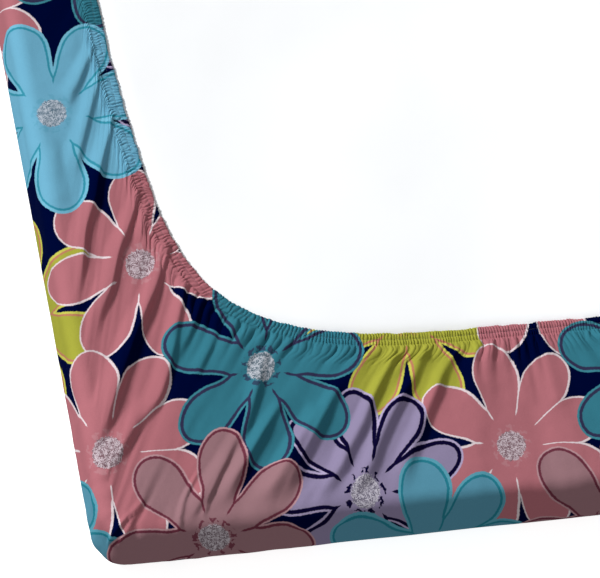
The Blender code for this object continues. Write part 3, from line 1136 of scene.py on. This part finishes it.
def paint(name, description, *screen):
    """A colour that a user can change, given by the screen's values from 0 to 255."""
    return bpy.props.FloatVectorProperty(
        name=name, description=description, default=rgba(*screen), size=4, subtype="COLOR"
    )


def amount(name, description, default):
    """A share or a strength that a user can change."""
    return bpy.props.FloatProperty(name=name, description=description, default=default, min=0.0)


class SheetSizes(bpy.types.PropertyGroup):
    """Sizes of the sheet's hem and folds."""

    cloth: length("Cloth", "Thickness of the cloth, soft as it lies", 0.0014)
    hem_width: length("Hem width", "Width of the casing that holds the elastic", 0.020)
    pleat_height: length("Pleat height", "Height of the casing's pleats", 0.0031)
    gather_height: length("Gather height", "Height of the gathers outside the casing", 0.0060)
    stitch_length: length("Stitch length", "Length of a stitch along the casing", 0.0026)
    crease_share: amount("Creases", "Height of the creases, as a share", 1.0)


class SheetColors(bpy.types.PropertyGroup):
    """Colours of the print, the thread, which is darkened with painted shade of its groove, and
    the mattress.
    """

    ground: paint("Ground", "Cloth between the flowers", 0, 6, 44)
    pink: paint("Pink", "Petals of the pink flowers", 162, 100, 108)
    dusty: paint("Dusty pink", "Petals of the dusty pink flower", 141, 106, 112)
    lilac: paint("Lilac", "Petals of the lilac flower", 131, 121, 150)
    teal: paint("Teal", "Petals of the teal flower", 49, 111, 127)
    cyan: paint("Cyan", "Petals of the cyan flower", 80, 135, 156)
    sky: paint("Sky blue", "Petals of the sky blue flower", 100, 158, 184)
    lime: paint("Lime", "Petals of the lime flower", 150, 151, 57)
    # Thread: partly its own colour, partly painted shade, darkened to stand for the shade line
    # along the stitched groove.
    thread: paint("Thread", "Stitches along the hem", 66, 62, 82)
    cover: paint("Cover", "Plain cover of the mattress", 247, 249, 251)


class StageSettings(bpy.types.PropertyGroup):
    """The floor and the lights."""

    floor_size: length("Floor", "Side of the floor", 40.0)
    key_light: amount("Key light", "Strength of the soft light from the left", 3.95)
    front_light: amount("Front light", "Strength of the weak light from the front", 0.26)
    fill_light: amount("Fill light", "Strength of the light from all around", 0.38)


class OBJECT_OT_mattress_cover(bpy.types.Operator):
    """Builds the mattress with its plain cover"""

    bl_idname = "object.mattress_cover"
    bl_label = "Mattress Cover"

    def execute(self, context):
        cover = mattress_cover(context.scene.sheet_colors)
        piece = new_piece("mattress_cover", *cover_mesh(context.scene.sheet_sizes), cover)
        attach(piece, "root")
        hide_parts("mattress")
        return {"FINISHED"}


class OBJECT_OT_gathered_hem(bpy.types.Operator):
    """Builds the two lengths of gathered hem, fine where the sheet is seen close"""

    bl_idname = "object.gathered_hem"
    bl_label = "Gathered Hem"

    def execute(self, context):
        sizes = context.scene.sheet_sizes
        cloth = printed_cloth(context.scene.sheet_colors)
        near, far = ring_steps()
        lengths = (np.append(near, far[0]), NEAR_DIVIDE), (np.append(far, 4.0), FAR_DIVIDE)
        for name, (steps, divide) in zip(HEM_PIECES, lengths):
            points, faces, uv, rim = hem_mesh(sizes, steps, divide)
            piece = new_piece(name, points, faces, cloth, uv, rim)
            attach(piece, "root")
        return {"FINISHED"}


class OBJECT_OT_hem_stitches(bpy.types.Operator):
    """Builds the row of stitches along the middle of the casing"""

    bl_idname = "object.hem_stitches"
    bl_label = "Hem Stitches"

    def execute(self, context):
        thread = hem_thread_with_groove_shade(context.scene.sheet_colors)
        points, faces = stitches_mesh(context.scene.sheet_sizes)
        piece = new_piece(STITCH_PIECE, points, faces, thread)
        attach(piece, "root")
        return {"FINISHED"}


class OBJECT_OT_printed_sheet(bpy.types.Operator):
    """Builds the big piece of printed cloth, which the hem and its stitches belong to"""

    bl_idname = "object.printed_sheet"
    bl_label = "Printed Sheet"

    def execute(self, context):
        cloth = printed_cloth(context.scene.sheet_colors)
        points, faces, uv, rim = cloth_mesh(context.scene.sheet_sizes)
        sheet = new_piece("fitted_sheet_cloth", points, faces, cloth, uv, rim)
        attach(sheet, "root")
        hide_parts("fitted_sheet")
        return {"FINISHED"}


class OBJECT_OT_studio_stage(bpy.types.Operator):
    """Builds the floor, the lights and the camera"""

    bl_idname = "object.studio_stage"
    bl_label = "Studio Stage"

    def execute(self, context):
        scene = context.scene
        settings = scene.sheet_stage
        corners = QUARTERS * settings.floor_size / 2
        points = np.column_stack([corners, np.full(4, -FLOOR_DEPTH)])
        floor = new_piece("studio_floor", points, [np.arange(4)[None]], pale_floor())
        floor.visible_diffuse = False

        world = bpy.data.worlds.new("studio_light")
        scene.world = world
        world.use_nodes = True
        sky = world.node_tree.nodes["Background"]
        sky.inputs["Color"].default_value = (1.0, 1.0, 1.0, 1.0)
        sky.inputs["Strength"].default_value = settings.fill_light

        for name, strength, size, turns in (
            ("key_light", settings.key_light, 14, (0, -55, -30)),
            ("front_light", settings.front_light, 40, (70, 0, 0)),
        ):
            lamp = bpy.data.lights.new(name, "SUN")
            lamp.energy = strength
            lamp.angle = math.radians(size)
            light = bpy.data.objects.new(name, lamp)
            light.rotation_euler = [math.radians(turn) for turn in turns]
            scene.collection.objects.link(light)

        scene.view_settings.view_transform = "Standard"
        scene.camera = photo_camera()
        scene.collection.objects.link(scene.camera)
        return {"FINISHED"}


def photo_camera():
    """A camera at its distance from the target, rolled, raised and turned round it."""
    data = bpy.data.cameras.new("photo_camera")
    data.lens = CAMERA_LENS
    data.sensor_width = SENSOR
    camera = bpy.data.objects.new("photo_camera", data)
    camera.matrix_world = (
        Matrix.Translation(CAMERA_TARGET)
        @ Matrix.Rotation(-CAMERA_TURN, 4, "Z")
        @ Matrix.Rotation(QUARTER_TURN - CAMERA_ELEVATION, 4, "X")
        @ Matrix.Rotation(CAMERA_ROLL, 4, "Z")
        @ Matrix.Translation((0.0, 0.0, CAMERA_DISTANCE))
    )
    return camera


class VIEW3D_PT_fitted_sheet(bpy.types.Panel):
    """Lists the sheet's settings and operators"""

    bl_label = "Fitted Sheet"
    bl_space_type = "VIEW_3D"
    bl_region_type = "UI"
    bl_category = "Fitted Sheet"

    def draw(self, context):
        for group in GROUPS:
            settings = getattr(context.scene, group)
            for name in settings.__annotations__:
                self.layout.prop(settings, name)
        for operator in OPERATORS:
            self.layout.operator(operator.bl_idname)


GROUPS = {
    "sheet_sizes": SheetSizes,
    "sheet_colors": SheetColors,
    "sheet_stage": StageSettings,
}
OPERATORS = (
    OBJECT_OT_mattress_cover,
    OBJECT_OT_gathered_hem,
    OBJECT_OT_hem_stitches,
    OBJECT_OT_printed_sheet,
    OBJECT_OT_studio_stage,
)
CLASSES = (*GROUPS.values(), *OPERATORS, VIEW3D_PT_fitted_sheet)


def register():
    """Registers the classes and the groups of settings."""
    for item in CLASSES:
        bpy.utils.register_class(item)
    for name, group in GROUPS.items():
        setattr(bpy.types.Scene, name, bpy.props.PointerProperty(type=group))


def unregister():
    """Takes them out again."""
    for name in GROUPS:
        delattr(bpy.types.Scene, name)
    for item in reversed(CLASSES):
        bpy.utils.unregister_class(item)


def main():
    """Builds everything."""
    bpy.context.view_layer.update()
    register()
    bpy.ops.object.mattress_cover()
    bpy.ops.object.gathered_hem()
    bpy.ops.object.hem_stitches()
    bpy.ops.object.printed_sheet()
    bpy.ops.object.studio_stage()


if __name__ == "__main__":
    main()
